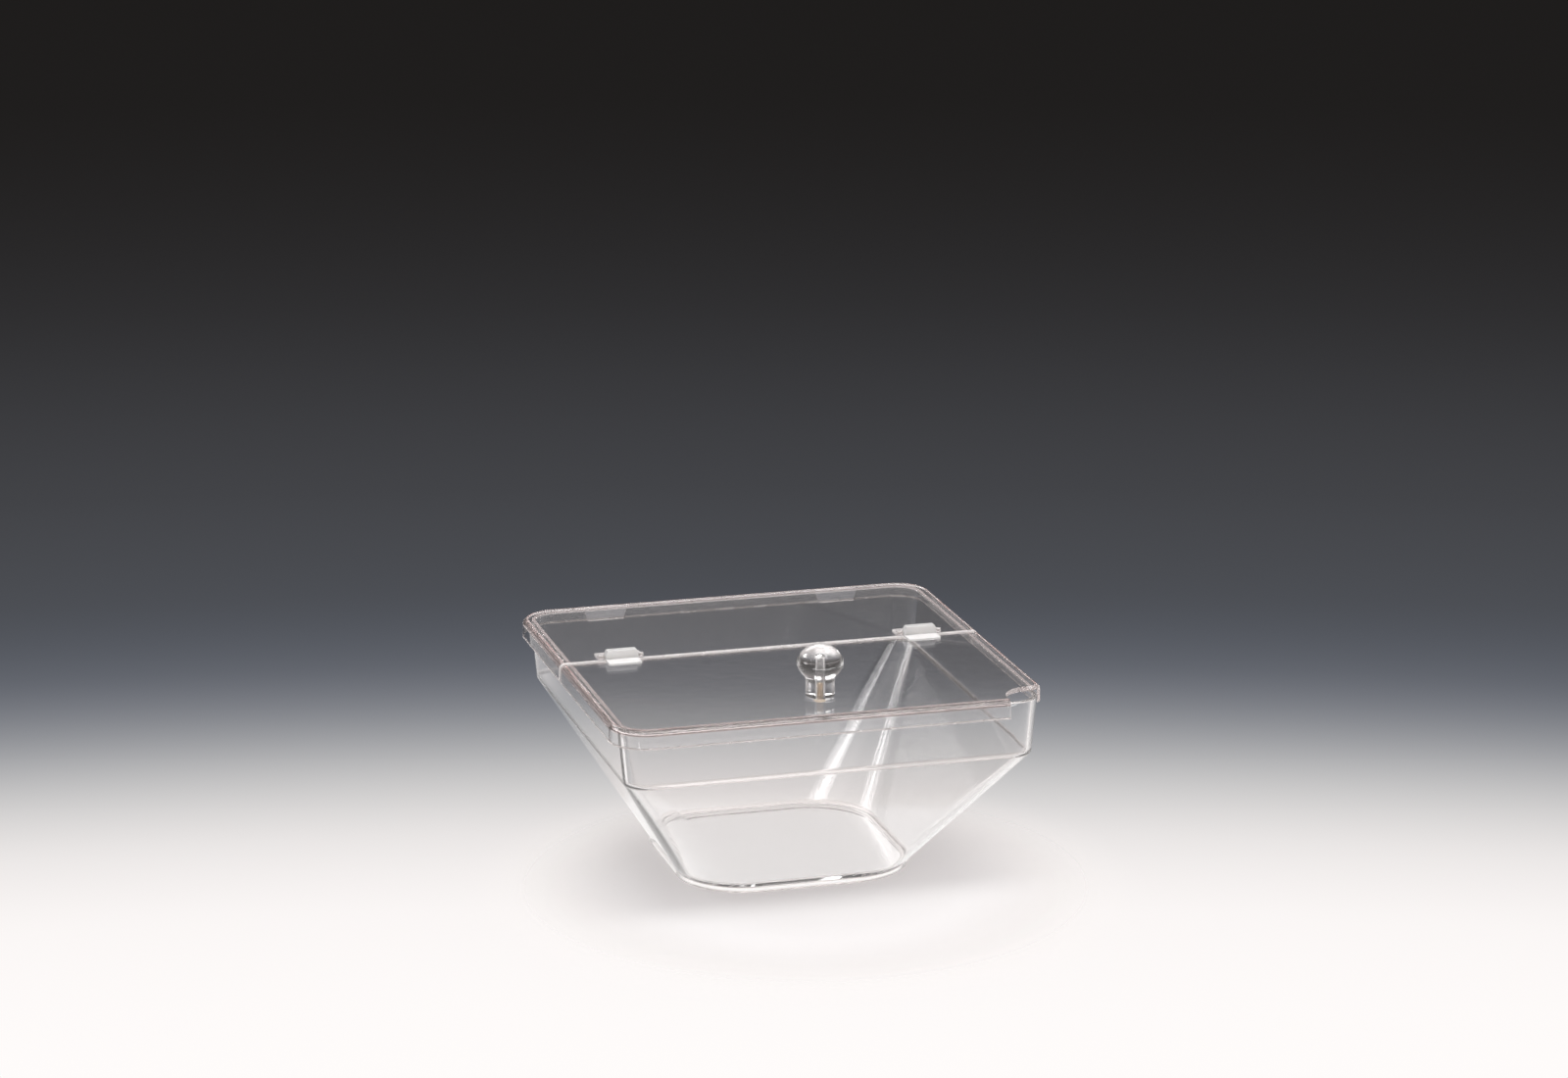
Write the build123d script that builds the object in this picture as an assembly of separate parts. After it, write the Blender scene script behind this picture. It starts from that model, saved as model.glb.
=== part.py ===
from build123d import *
from math import atan, atan2, cos, degrees, radians, sin, sqrt, tan
import os

# Clear square storage bowl with a two-part lid, in millimetres.
# The origin is on the resting plane, under the middle of the foot.
# +Z points up, -Y is the front, where the flap opens, and +X is to the right.

# Bowl. Widths are outer widths of a square with rounded corners.
foot_width = 142.0
foot_corner_radius = 42.0
foot_band_height = 3.5
foot_rim_thickness = 3.2
foot_recess_depth = 3.0
floor_thickness = 3.0
side_wall = 3.0
collar_width = 245.0
collar_corner_radius = 14.0
collar_height = 87.1
collar_flare = 3.0
rim_height = 121.3
floor_blend_radius = 3.0
rim_edge_radius = 0.6
foot_edge_radius = 0.6

# Lid, one moulding sawn across into a fixed rear part and a front flap.
lid_side_clearance = 2.9
lid_plate = 3.0
lip_wall = 2.6
lip_height = 11.2
lip_flare = 0.5
lip_bend_radius = 3.4
lip_edge_radius = 0.4
seam_back_from_centre = 12.4
seam_gap = 0.8

# Two tapered pads inside the rear lip keep the lid from sliding on the bowl.
pad_centre_from_side = 56.5
pad_top_width = 29.0
pad_bottom_width = 22.6
pad_clearance = 0.5
pad_end_above_lip_edge = 0.3

# Notch in the flap's front right corner, for the handle of a spoon.
notch_radius = 17.3
notch_centre_from_side = 10.7
notch_centre_from_front = 7.7
notch_side_end_from_front = 30.0

# Hinges. A block on the flap turns on a pin between two ears on the rear part.
hinge_centre_from_side = 38.0
hinge_axis_behind_seam = 2.0
hinge_axis_above_plate = 1.7
hinge_pin_radius = 0.75
pin_end_inset = 0.6
pin_running_clearance = 0.05
pin_seat_clearance = 0.02
ear_width = 3.6
ear_radius = 1.4
ear_side_gap = 0.2
leaf_thickness = 1.2
leaf_corner_radius = 1.5
rear_leaf_strip = 4.0
front_leaf_reach = 12.0
block_width = 20.0
block_height = 6.4
block_depth = 4.6
block_end_taper = 1.2
block_edge_radius = 0.5
hinge_clearance = 0.3
flap_opening_angle = 100.0

# Knob, a flattened ball on a straight neck, held by a screw from below.
knob_from_front = 41.0
knob_ball_radius = 13.7
knob_ball_half_height = 11.1
knob_ball_side_radius = 6.8
knob_ball_centre_height = 20.0
knob_neck_radius = 8.5
knob_blend_radius = 5.0
knob_foot_chamfer = 0.4
knob_bore_depth = 21.7
bore_tip_height = 1.2
screw_radius = 2.0
screw_thread_clearance = 0.1
screw_hole_clearance = 0.25
screw_length = 12.0
screw_tip_chamfer = 0.5
screw_head_radius = 4.0
screw_head_height = 2.5
screw_head_chamfer = 0.8
recess_width = 0.9
recess_length = 4.4
recess_depth = 1.3

# Cuts run past the faces that they leave by this much.
overrun = 5.0

# Widths, slopes and heights that follow from the bowl's sizes.
rim_width = collar_width + 2 * collar_flare
rim_corner_radius = collar_corner_radius + collar_flare
side_run = (collar_width - foot_width) / 2 / (collar_height - foot_band_height)
collar_run = collar_flare / (rim_height - collar_height)
side_wall_run = side_wall * sqrt(1 + side_run**2)
collar_wall_run = side_wall * sqrt(1 + collar_run**2)
floor_height = foot_recess_depth + floor_thickness
inner_collar_height = collar_height + (side_wall_run - collar_wall_run) / (side_run - collar_run)

# Places that follow from the lid's sizes.
plate_underside = rim_height
plate_top = plate_underside + lid_plate
lip_edge = plate_top - lip_height
lip_inside = rim_width / 2 + lid_side_clearance
lid_half_width = lip_inside + lip_wall
lip_inside_radius = rim_corner_radius + lid_side_clearance
lid_corner_radius = lip_inside_radius + lip_wall
lip_run = lip_flare / lip_height
pad_centre_x = lid_half_width - pad_centre_from_side
seam_rear_edge = seam_back_from_centre + seam_gap / 2
seam_front_edge = seam_back_from_centre - seam_gap / 2

# Places that follow from the hinge and knob sizes.
hinge_centre_x = lid_half_width - hinge_centre_from_side
axis_y = seam_back_from_centre + hinge_axis_behind_seam
axis_z = plate_top + hinge_axis_above_plate
ear_outer_half_width = block_width / 2 + ear_side_gap + ear_width
block_barrel_radius = hinge_axis_above_plate - hinge_clearance
block_back_lean = radians(flap_opening_angle - 90)
knob_y = knob_from_front - lid_half_width
knob_bore_radius = screw_radius + screw_thread_clearance


def rounded_square(width, corner_radius, height):
    """A square face with rounded corners, centred on the bowl's axis."""
    return Pos(0, 0, height) * RectangleRounded(width, width, corner_radius)


def between(start, end, start_height, end_height, height):
    """The value at a height on a straight line through two values."""
    return start + (end - start) * (height - start_height) / (end_height - start_height)


def side_outline(height, wall_run):
    """The sloping sides' outline at a height, drawn in by a wall."""
    width = between(foot_width, collar_width, foot_band_height, collar_height, height)
    corner = between(foot_corner_radius, collar_corner_radius, foot_band_height, collar_height, height)
    return rounded_square(width - 2 * wall_run, corner - wall_run, height)


def drafted_square(width, corner_radius, start, end, run):
    """A rounded square prism between two heights, whose sides move out by a run for each step up."""
    return extrude(rounded_square(width, corner_radius, start), end - start, taper=-degrees(atan(run)))


def edges_at(shape, height):
    """The edges of a shape that lie flat at a height."""
    return shape.edges().filter_by_position(Axis.Z, height, height)


def bowl_outside():
    """The bowl's outer form: a foot band, four sloping sides and a flared collar."""
    band = extrude(rounded_square(foot_width, foot_corner_radius, 0), foot_band_height)
    band = fillet(edges_at(band, 0), foot_edge_radius)
    sides = loft([side_outline(foot_band_height, 0), side_outline(collar_height, 0)], ruled=True)
    collar = drafted_square(collar_width, collar_corner_radius, collar_height, rim_height, collar_run)
    return band + sides + collar


def bowl_inside():
    """The bowl's hollow, one wall in from the outside, with a blended floor."""
    lower = loft(
        [side_outline(floor_height, side_wall_run), side_outline(inner_collar_height, side_wall_run)],
        ruled=True,
    )
    lower = fillet(edges_at(lower, floor_height), floor_blend_radius)
    draw_in = collar_wall_run - collar_run * (inner_collar_height - collar_height)
    upper = drafted_square(
        collar_width - 2 * draw_in,
        collar_corner_radius - draw_in,
        inner_collar_height,
        rim_height + overrun,
        collar_run,
    )
    return lower + upper


def make_bowl():
    """The bowl, with a recess under its floor that leaves a narrow foot."""
    recess = extrude(
        rounded_square(
            foot_width - 2 * foot_rim_thickness,
            foot_corner_radius - foot_rim_thickness,
            foot_recess_depth,
        ),
        -foot_recess_depth - overrun,
    )
    bowl = bowl_outside() - bowl_inside() - recess
    return fillet(edges_at(bowl, rim_height), rim_edge_radius)


def lid_blank():
    """The whole lid before it is sawn: a flat plate with a lip all round."""
    outside = drafted_square(2 * lid_half_width, lid_corner_radius, lip_edge, plate_top, -lip_run)
    outside = fillet(edges_at(outside, plate_top), lip_bend_radius)
    draw_out = lip_run * overrun
    inside = drafted_square(
        2 * (lip_inside + draw_out), lip_inside_radius + draw_out, lip_edge - overrun, plate_underside, -lip_run
    )
    inside = fillet(edges_at(inside, plate_underside), lip_bend_radius - lip_wall)
    blank = outside - inside
    return fillet(edges_at(blank, lip_edge), lip_edge_radius)


def lid_slab(front, rear):
    """A block that holds the stretch of the lid between two places along Y."""
    width = 2 * (lid_half_width + overrun)
    height = lip_height + 2 * overrun
    depth = rear - front
    return Pos(0, (front + rear) / 2, lip_edge - overrun + height / 2) * Box(width, depth, height)


def rear_pad(centre_x):
    """A tapered pad on the inside of the rear lip, close to the bowl's rim."""
    pad_face = rim_width / 2 + pad_clearance
    depth = lip_inside + lip_wall / 2 - pad_face
    top = plate_underside + lid_plate / 2
    bottom = lip_edge + pad_end_above_lip_edge
    outline = Polyline(
        (centre_x - pad_bottom_width / 2, bottom),
        (centre_x + pad_bottom_width / 2, bottom),
        (centre_x + pad_top_width / 2, top),
        (centre_x - pad_top_width / 2, top),
        close=True,
    )
    return Pos(0, pad_face, 0) * extrude(Plane.XZ * make_face(outline), -depth)


def make_rear_lid():
    """The fixed rear part of the lid, with its two locating pads."""
    rear = lid_blank() & lid_slab(seam_rear_edge, lid_half_width + overrun)
    for side in (-1, 1):
        rear += rear_pad(side * pad_centre_x)
    return rear


def notch_cutter():
    """The corner notch: a round end that flares out to the right-hand lip."""
    centre_x = lid_half_width - notch_centre_from_side
    centre_y = notch_centre_from_front - lid_half_width
    top_y = centre_y + notch_radius
    rise = notch_side_end_from_front - lid_half_width - top_y
    flare_radius = (notch_centre_from_side**2 + rise**2) / (2 * rise)
    outside = lid_half_width + overrun
    left = centre_x - notch_radius
    side_end = (lid_half_width, top_y + rise)
    round_end = CenterArc((centre_x, centre_y), notch_radius, 90, 90)
    flare_angle = degrees(atan2(notch_centre_from_side, flare_radius - rise))
    flare = CenterArc((centre_x, top_y + flare_radius), flare_radius, -90, flare_angle)
    rest = Polyline(side_end, (outside, top_y + rise), (outside, -outside), (left, -outside), (left, centre_y))
    plan = make_face(Curve() + [round_end, flare, rest])
    return Pos(0, 0, lip_edge - overrun) * extrude(plan, lip_height + 2 * overrun)


def make_front_flap():
    """The front part of the lid, with the notch and the hole for the knob's screw."""
    flap = lid_blank() & lid_slab(-lid_half_width - overrun, seam_front_edge)
    flap -= notch_cutter()
    hole = Cylinder(screw_radius + screw_hole_clearance, lid_plate + 2 * overrun)
    return flap - Pos(0, knob_y, plate_underside + lid_plate / 2) * hole


def across(radius, half_width):
    """A cylinder along the hinge axis, centred on the hinge."""
    return Pos(0, axis_y, axis_z) * Rot(0, 90, 0) * Cylinder(radius, 2 * half_width)


def make_rear_hinge(centre_x):
    """The rear half of a hinge: a leaf bonded to the plate, with two ears for the pin."""
    window_rear = axis_y + block_height + hinge_clearance
    leaf_front = axis_y - ear_radius
    leaf_rear = window_rear + rear_leaf_strip
    plan = Pos(0, (leaf_front + leaf_rear) / 2) * Rectangle(2 * ear_outer_half_width, leaf_rear - leaf_front)
    plan = fillet(plan.vertices().group_by(Axis.Y)[-1], leaf_corner_radius)
    leaf = Pos(0, 0, plate_top) * extrude(plan, leaf_thickness)
    ear = across(ear_radius, ear_outer_half_width)
    ear += Pos(0, axis_y, (plate_top + axis_z) / 2) * Box(
        2 * ear_outer_half_width, 2 * ear_radius, hinge_axis_above_plate
    )
    window_width = block_width + 2 * ear_side_gap
    window_front = leaf_front - overrun
    window = Pos(0, (window_front + window_rear) / 2, axis_z) * Box(
        window_width, window_rear - window_front, 2 * block_height
    )
    half = leaf + ear - window - across(hinge_pin_radius + pin_seat_clearance, block_width)
    return Pos(centre_x, 0, 0) * half


def block_section():
    """The hinge block's section across its width: a barrel that rises to a leaning back."""
    height = plate_top + block_height - axis_z
    back_foot = (block_barrel_radius * cos(block_back_lean), block_barrel_radius * sin(block_back_lean))
    back_rise = height - back_foot[1]
    back_top = (back_foot[0] - back_rise * tan(block_back_lean), height)
    front = -block_depth
    seam = seam_front_edge - axis_y
    outline = Polyline(
        (0, 0),
        back_foot,
        back_top,
        (front, height),
        (front, -hinge_axis_above_plate),
        (seam, -hinge_axis_above_plate),
        (seam, -block_barrel_radius),
        (0, -block_barrel_radius),
        close=True,
    )
    return make_face(outline) + Circle(block_barrel_radius)


def make_front_hinge(centre_x):
    """The front half of a hinge: a leaf bonded to the flap, with a block that takes the pin."""
    half_width = block_width / 2
    section = Pos(-half_width, axis_y, axis_z) * (Plane.YZ * block_section())
    block = extrude(section, block_width)
    ear_top = axis_z + ear_radius
    block_top = plate_top + block_height
    top_half_width = half_width - block_end_taper
    shape = make_face(
        Polyline(
            (-half_width, plate_top),
            (half_width, plate_top),
            (half_width, ear_top),
            (top_half_width, block_top),
            (-top_half_width, block_top),
            (-half_width, ear_top),
            close=True,
        )
    )
    block &= Pos(0, axis_y + overrun, 0) * extrude(Plane.XZ * shape, 2 * block_depth + 2 * overrun)
    block = fillet(edges_at(block, block_top), block_edge_radius)
    leaf_front = seam_back_from_centre - front_leaf_reach
    leaf_rear = axis_y - block_depth + block_edge_radius
    plan = Pos(0, (leaf_front + leaf_rear) / 2) * Rectangle(block_width, leaf_rear - leaf_front)
    plan = fillet(plan.vertices().group_by(Axis.Y)[0], leaf_corner_radius)
    leaf = Pos(0, 0, plate_top) * extrude(plan, leaf_thickness)
    half = block + leaf - across(hinge_pin_radius + pin_running_clearance, block_width)
    return Pos(centre_x, 0, 0) * half


def make_hinge_pin(centre_x):
    """The steel pin of a hinge, a little short of the ears' outer faces."""
    return Pos(centre_x, 0, 0) * across(hinge_pin_radius, ear_outer_half_width - pin_end_inset)


def make_knob():
    """The knob: a flattened ball that blends into its neck, drilled for the screw."""
    side_offset = knob_ball_radius - knob_ball_side_radius
    flattening = knob_ball_half_height - knob_ball_side_radius
    crown_radius = (side_offset**2 + knob_ball_half_height**2 - knob_ball_side_radius**2) / (2 * flattening)
    crown_offset = crown_radius - knob_ball_half_height
    join_angle = degrees(atan2(crown_offset, side_offset))
    crown = CenterArc((0, -crown_offset), crown_radius, join_angle, 90 - join_angle)
    side = CenterArc((side_offset, 0), knob_ball_side_radius, -join_angle, 2 * join_angle)
    underside = CenterArc((0, crown_offset), crown_radius, -90, 90 - join_angle)
    middle = Line((0, knob_ball_half_height), (0, -knob_ball_half_height))
    ball = make_face(Curve() + [crown, side, underside, middle])
    neck = Pos(knob_neck_radius / 2, knob_ball_centre_height / 2) * Rectangle(
        knob_neck_radius, knob_ball_centre_height
    )
    profile = Pos(0, knob_ball_centre_height) * ball + neck
    profile = chamfer(profile.vertices().sort_by_distance((knob_neck_radius, 0))[0], knob_foot_chamfer)
    meeting_height = knob_ball_centre_height + crown_offset - sqrt(crown_radius**2 - knob_neck_radius**2)
    meeting = profile.vertices().sort_by_distance((knob_neck_radius, meeting_height))[0]
    profile = fillet(meeting, knob_blend_radius)
    bore = Polyline(
        (0, 0),
        (knob_bore_radius, 0),
        (knob_bore_radius, knob_bore_depth),
        (0, knob_bore_depth + bore_tip_height),
        close=True,
    )
    profile -= make_face(bore)
    return Pos(0, knob_y, plate_top) * revolve(Plane.XZ * profile, Axis.Z)


def make_knob_screw():
    """The pan-head screw that holds the knob, with a cross recess in its head."""
    shank = Pos(0, 0, screw_length / 2) * Cylinder(screw_radius, screw_length)
    shank = chamfer(edges_at(shank, screw_length), screw_tip_chamfer)
    head = Pos(0, 0, -screw_head_height / 2) * Cylinder(screw_head_radius, screw_head_height)
    head = chamfer(edges_at(head, -screw_head_height), screw_head_chamfer)
    slot_centre = Pos(0, 0, recess_depth / 2 - screw_head_height - overrun / 2)
    slot = slot_centre * Box(recess_length, recess_width, recess_depth + overrun)
    cross = slot_centre * Box(recess_width, recess_length, recess_depth + overrun)
    return Pos(0, knob_y, plate_underside) * (shank + head - slot - cross)


def save(name, shape):
    """Writes one piece under its own name."""
    shape.label = name
    export_step(shape, os.path.join("parts", name + ".step"))


os.makedirs("parts", exist_ok=True)
save("bowl", make_bowl())
save("rear_lid", make_rear_lid())
save("front_flap", make_front_flap())
for side_name, side in (("left", -1), ("right", 1)):
    hinge_x = side * hinge_centre_x
    save("hinge_rear_" + side_name, make_rear_hinge(hinge_x))
    save("hinge_front_" + side_name, make_front_hinge(hinge_x))
    save("hinge_pin_" + side_name, make_hinge_pin(hinge_x))
save("knob", make_knob())
save("knob_screw", make_knob_screw())
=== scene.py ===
"""A clear square storage bowl with a sawn two-part lid, dressed for a studio photograph.

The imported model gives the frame. The bowl, both lid parts, the knob, its screw and two
films of cement are surfaces worked out on grids, and the hinge parts and pins keep their
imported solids. Sizes are in millimetres, and turn to metres where a mesh is made.
"""

import logging
from dataclasses import dataclass
from enum import IntEnum
from math import atan2, cos, pi, radians, sqrt
from typing import Any, Sequence

import bmesh
import bpy
import numpy as np
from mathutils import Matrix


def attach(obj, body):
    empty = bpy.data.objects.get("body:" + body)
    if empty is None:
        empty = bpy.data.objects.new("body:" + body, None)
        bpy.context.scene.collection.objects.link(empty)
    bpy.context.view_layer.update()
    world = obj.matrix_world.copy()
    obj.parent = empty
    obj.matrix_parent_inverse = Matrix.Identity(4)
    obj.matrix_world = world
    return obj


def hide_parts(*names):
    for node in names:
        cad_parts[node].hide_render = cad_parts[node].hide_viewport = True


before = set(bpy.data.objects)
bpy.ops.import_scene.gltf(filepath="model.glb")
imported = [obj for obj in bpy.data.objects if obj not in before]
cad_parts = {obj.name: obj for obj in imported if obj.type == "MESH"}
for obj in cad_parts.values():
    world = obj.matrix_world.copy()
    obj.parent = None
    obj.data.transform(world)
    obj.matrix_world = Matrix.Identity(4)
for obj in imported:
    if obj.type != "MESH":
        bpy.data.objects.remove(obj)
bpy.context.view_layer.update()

log = logging.getLogger("storage_bowl")

Point = tuple[float, float, float]
Pair = tuple[float, float]
Stops = Sequence[tuple[float, str]]

MM = 0.001
CORNER_STEPS = 24
ROUND_STEPS = 6
# Places along a straight run, and from a loop in to its middle. They crowd at the ends, so
# that a flat face stays flat beside a rounded one.
SPAN = np.array([0.0, 0.01, 0.08, 0.25, 0.5, 0.75, 0.92, 0.99, 1.0])
FILL = np.array([1.0, 0.97, 0.75, 0.5, 0.25, 0.03, 0.0])
# Points closer than the first are merged, and edges shorter than the second dissolved.
MERGED_MM = 0.003
SLIVER_MM = 0.0005
# Edges that turn more than this, in degrees, are softened.
CRISP_ANGLE = 38.0


class Face(IntEnum):
    """The material slots of a clear piece, by how each face was made; the bend and edge slots also carry
    painted highlights.
    """

    MOULDED = 0
    BEND = 1
    SAWN = 2
    EDGE = 3


def linear(colour: str) -> tuple[float, float, float, float]:
    """Turns an sRGB hex colour to linear values.

    Args:
        colour: Six hex digits, such as "F4F1EF".

    Returns:
        Red, green, blue and an alpha of one.
    """
    shares = np.array([int(colour[i : i + 2], 16) for i in (0, 2, 4)]) / 255
    values = np.where(shares <= 0.04045, shares / 12.92, ((shares + 0.055) / 1.055) ** 2.4)
    return (*values.tolist(), 1.0)


def add_node(
    tree: bpy.types.NodeTree, kind: str, sockets: dict[Any, Any] | None = None, **settings: Any
) -> bpy.types.Node:
    """Adds a shader node with its settings, values and links.

    Args:
        tree: The node tree that takes the node.
        kind: The node's type name.
        sockets: What each input takes, by name or number: a value, another node's output, or
            a node, which stands for its first output in use.
        settings: The node's own properties.

    Returns:
        The new node.
    """
    node = tree.nodes.new(kind)
    for name, value in settings.items():
        setattr(node, name, value)
    for name, value in (sockets or {}).items():
        if isinstance(value, bpy.types.Node):
            value = next(output for output in value.outputs if output.enabled)
        if isinstance(value, bpy.types.NodeSocket):
            tree.links.new(value, node.inputs[name])
        else:
            node.inputs[name].default_value = value
    return node


def new_material(name: str) -> tuple[bpy.types.Material, bpy.types.NodeTree]:
    """Starts a material.

    Args:
        name: The material's name.

    Returns:
        The material and its empty node tree.
    """
    material = bpy.data.materials.new(name)
    material.use_nodes = True
    material.node_tree.nodes.clear()
    return material, material.node_tree


def set_ramp(
    node: bpy.types.Node, stops: Stops, low: float = 0.0, high: float = 1.0, blend: str = "LINEAR"
) -> None:
    """Sets a colour ramp's stops.

    Args:
        node: The colour ramp node.
        stops: Place and sRGB hex colour of each stop, in order.
        low: The place that is the ramp's start.
        high: The place that is its end.
        blend: How one stop runs into the next.
    """
    ramp = node.color_ramp
    ramp.interpolation = blend
    while len(ramp.elements) > 1:
        ramp.elements.remove(ramp.elements[-1])
    shares = [((place - low) / (high - low), linear(colour)) for place, colour in stops]
    ramp.elements[0].position, ramp.elements[0].color = shares[0]
    for share, colour in shares[1:]:
        ramp.elements.new(share).color = colour


@dataclass(frozen=True)
class Relief:
    """Low bumps in a surface: their width and depth, and the finer detail that rides on them."""

    width_mm: float
    depth_mm: float
    detail: float = 1.0
    roughness: float = 0.5


@dataclass(frozen=True)
class ToolMarks(Relief):
    """Fine marks that a blade, a drill or wear leaves, drawn as coarse as they need to show."""

    detail: float = 6.0
    roughness: float = 0.7


@dataclass(frozen=True)
class ClearPlastic:
    """Clear acrylic, told apart by how the face was made, and on bends and edges by painted highlights.

    Light passes through it and bends at both faces, so its edges gather the bright floor
    and the dark backdrop into fine lines. The ripple is the slow one that moulding leaves.
    """

    name: str
    tint: str = "FEFDFD"
    roughness: float = 0.004
    spread: float = 0.012
    clearness: float = 0.975
    ripple: Relief = Relief(34.0, 0.010)
    marks: Relief | None = None
    grain_mm: float = 14.0
    grain_reach: Pair = (0.35, 0.8)
    lets_through: str = "FAF9F9"
    ior: float = 1.49

    def material(self) -> bpy.types.Material:
        """Builds the material.

        Returns:
            A glass-like material whose shadow is nearly clear.
        """
        material, tree = new_material(self.name)
        place = add_node(tree, "ShaderNodeTexCoord").outputs["Object"]
        grain = {"Vector": place, "Scale": 1 / (self.grain_mm * MM), "Detail": 4.0}
        haze = {
            "Value": add_node(tree, "ShaderNodeTexNoise", grain),
            "From Min": self.grain_reach[0],
            "From Max": self.grain_reach[1],
            "To Min": self.roughness,
            "To Max": self.roughness + self.spread,
        }
        look = {
            "Base Color": linear(self.tint),
            "Roughness": add_node(tree, "ShaderNodeMapRange", haze),
            "IOR": self.ior,
            "Transmission Weight": self.clearness,
        }
        below: dict[str, bpy.types.Node] = {}
        for relief in filter(None, (self.ripple, self.marks)):
            pattern = {
                "Vector": place,
                "Scale": 1 / (relief.width_mm * MM),
                "Detail": relief.detail,
                "Roughness": relief.roughness,
            }
            height = add_node(tree, "ShaderNodeTexNoise", pattern)
            bump = {"Height": height, "Distance": relief.depth_mm * MM, "Strength": 1.0}
            below = {"Normal": add_node(tree, "ShaderNodeBump", bump | below)}
        plastic = add_node(tree, "ShaderNodeBsdfPrincipled", look | below)
        passing = add_node(tree, "ShaderNodeBsdfTransparent", {"Color": linear(self.lets_through)})
        shadow = add_node(tree, "ShaderNodeLightPath").outputs["Is Shadow Ray"]
        mixed = add_node(tree, "ShaderNodeMixShader", {0: shadow, 1: plastic, 2: passing})
        add_node(tree, "ShaderNodeOutputMaterial", {"Surface": mixed})
        return material


@dataclass(frozen=True)
class TurnedSteel:
    """Bright steel, drawn or rolled and then plated.

    Its shine varies in a fine grain, which is drawn as coarse as it needs to show.
    """

    name: str
    colour: str = "C9C4BC"
    roughness: float = 0.22
    grain_mm: float = 0.35
    grain_reach: Pair = (0.3, 0.7)
    variation: Pair = (0.7, 1.5)

    def material(self) -> bpy.types.Material:
        """Builds the material.

        Returns:
            A metal whose roughness varies about its own in a fine grain.
        """
        material, tree = new_material(self.name)
        place = add_node(tree, "ShaderNodeTexCoord").outputs["Object"]
        grain = {"Vector": place, "Scale": 1 / (self.grain_mm * MM), "Detail": 3.0, "Distortion": 0.4}
        shine = {
            "Value": add_node(tree, "ShaderNodeTexNoise", grain),
            "From Min": self.grain_reach[0],
            "From Max": self.grain_reach[1],
            "To Min": self.roughness * self.variation[0],
            "To Max": self.roughness * self.variation[1],
        }
        roughness = add_node(tree, "ShaderNodeMapRange", shine)
        look = {"Base Color": linear(self.colour), "Metallic": 1.0, "Roughness": roughness}
        metal = add_node(tree, "ShaderNodeBsdfPrincipled", look)
        add_node(tree, "ShaderNodeOutputMaterial", {"Surface": metal})
        return material


@dataclass(frozen=True)
class Profile:
    """A wall's profile: its rows of sizes, and how each strip between them was made."""

    rows: np.ndarray
    faces: np.ndarray


def rounded_profile(
    corners: Sequence[tuple[float, ...]], support: float = 0.2, furthest: float = 0.6
) -> Profile:
    """A wall's profile, with its corners rounded.

    Each corner gives way to an arc that touches both of its sides. With unit vectors a and
    b along the two sides and f the angle between them, the arc's centre lies from the
    corner along a + b by radius / sin(f / 2), and the arc starts and ends radius / tan(f / 2)
    from the corner. At share s of a turn t its point is the centre plus sin((1 - s) t) of the
    way to its start and sin(s t) of the way to its end, over sin(t). One more row on each
    side, a little further out, keeps the flats flat.

    Args:
        corners: Half width, plan corner radius, height, rounding and face of each corner.
        support: How far the extra rows lie beyond the arcs.
        furthest: The most of a side that lies between its corner and the extra row.

    Returns:
        Rows of half width, plan corner radius and height, and the face of each strip.
    """
    table = np.array(corners, float)
    rows, faces, last = [table[0, :3]], [], Face.MOULDED
    share = np.linspace(0, 1, ROUND_STEPS + 1)[:, None]
    steps = zip(table[:-2, :3], table[1:-1, :3], table[2:, :3], table[1:-1, 3], table[1:-1, 4])
    for before, here, after, rounding, face in steps:
        approach = Face.EDGE if last == face == Face.EDGE else Face.MOULDED
        last = Face(int(face))
        back, ahead = before - here, after - here
        back_length, ahead_length = np.hypot(back[0], back[2]), np.hypot(ahead[0], ahead[2])
        back_unit, ahead_unit = back[[0, 2]] / back_length, ahead[[0, 2]] / ahead_length
        between = np.arccos(np.clip(back_unit @ ahead_unit, -1, 1))
        reach = rounding / np.tan(between / 2)
        start, end = here + back * (reach / back_length), here + ahead * (reach / ahead_length)
        bisector = (back_unit + ahead_unit) / np.linalg.norm(back_unit + ahead_unit)
        centre = here[[0, 2]] + bisector * rounding / np.sin(between / 2)
        turn = pi - between
        from_start = np.sin((1 - share) * turn) * (start[[0, 2]] - centre)
        bend = centre + (from_start + np.sin(share * turn) * (end[[0, 2]] - centre)) / np.sin(turn)
        run = end[0] - start[0]
        along = (bend[:, 0] - start[0]) / run if abs(run) > 1e-6 else share[:, 0]
        radius = start[1] + along * (end[1] - start[1])
        rows.append(here + back * min((reach + support) / back_length, furthest))
        rows.extend(np.column_stack([bend[:, 0], radius, bend[:, 1]]))
        rows.append(here + ahead * min((reach + support) / ahead_length, furthest))
        faces.extend([approach] + [last] * (ROUND_STEPS + 2))
    rows.append(table[-1, :3])
    faces.append(Face.MOULDED)
    return Profile(np.array(rows), np.array(faces, int))


def straight(start: np.ndarray, end: np.ndarray, shares: np.ndarray = SPAN) -> np.ndarray:
    """Points along a straight run, for every row at once: start + share * (end - start).

    Args:
        start: Where each row's run starts, as rows of x and y.
        end: Where each row's run ends.
        shares: The places along the run, from 0 to 1.

    Returns:
        A grid of x and y, rows by shares.
    """
    return start[:, None] + shares[None, :, None] * (end - start)[:, None]


def arc(
    centre: np.ndarray, radius: np.ndarray, first: float, last: float, steps: int = CORNER_STEPS
) -> np.ndarray:
    """Points round an arc, for every row at once: centre + radius * (cos a, sin a).

    Args:
        centre: Each row's centre, as rows of x and y.
        radius: Each row's radius.
        first: The angle where the arc starts, in radians.
        last: The angle where it ends.
        steps: How many parts the arc has.

    Returns:
        A grid of x and y, rows by steps + 1.
    """
    angle = np.linspace(first, last, steps + 1)
    way = np.stack([np.cos(angle), np.sin(angle)], -1)
    return centre[:, None] + radius[:, None, None] * way[None]


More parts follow.
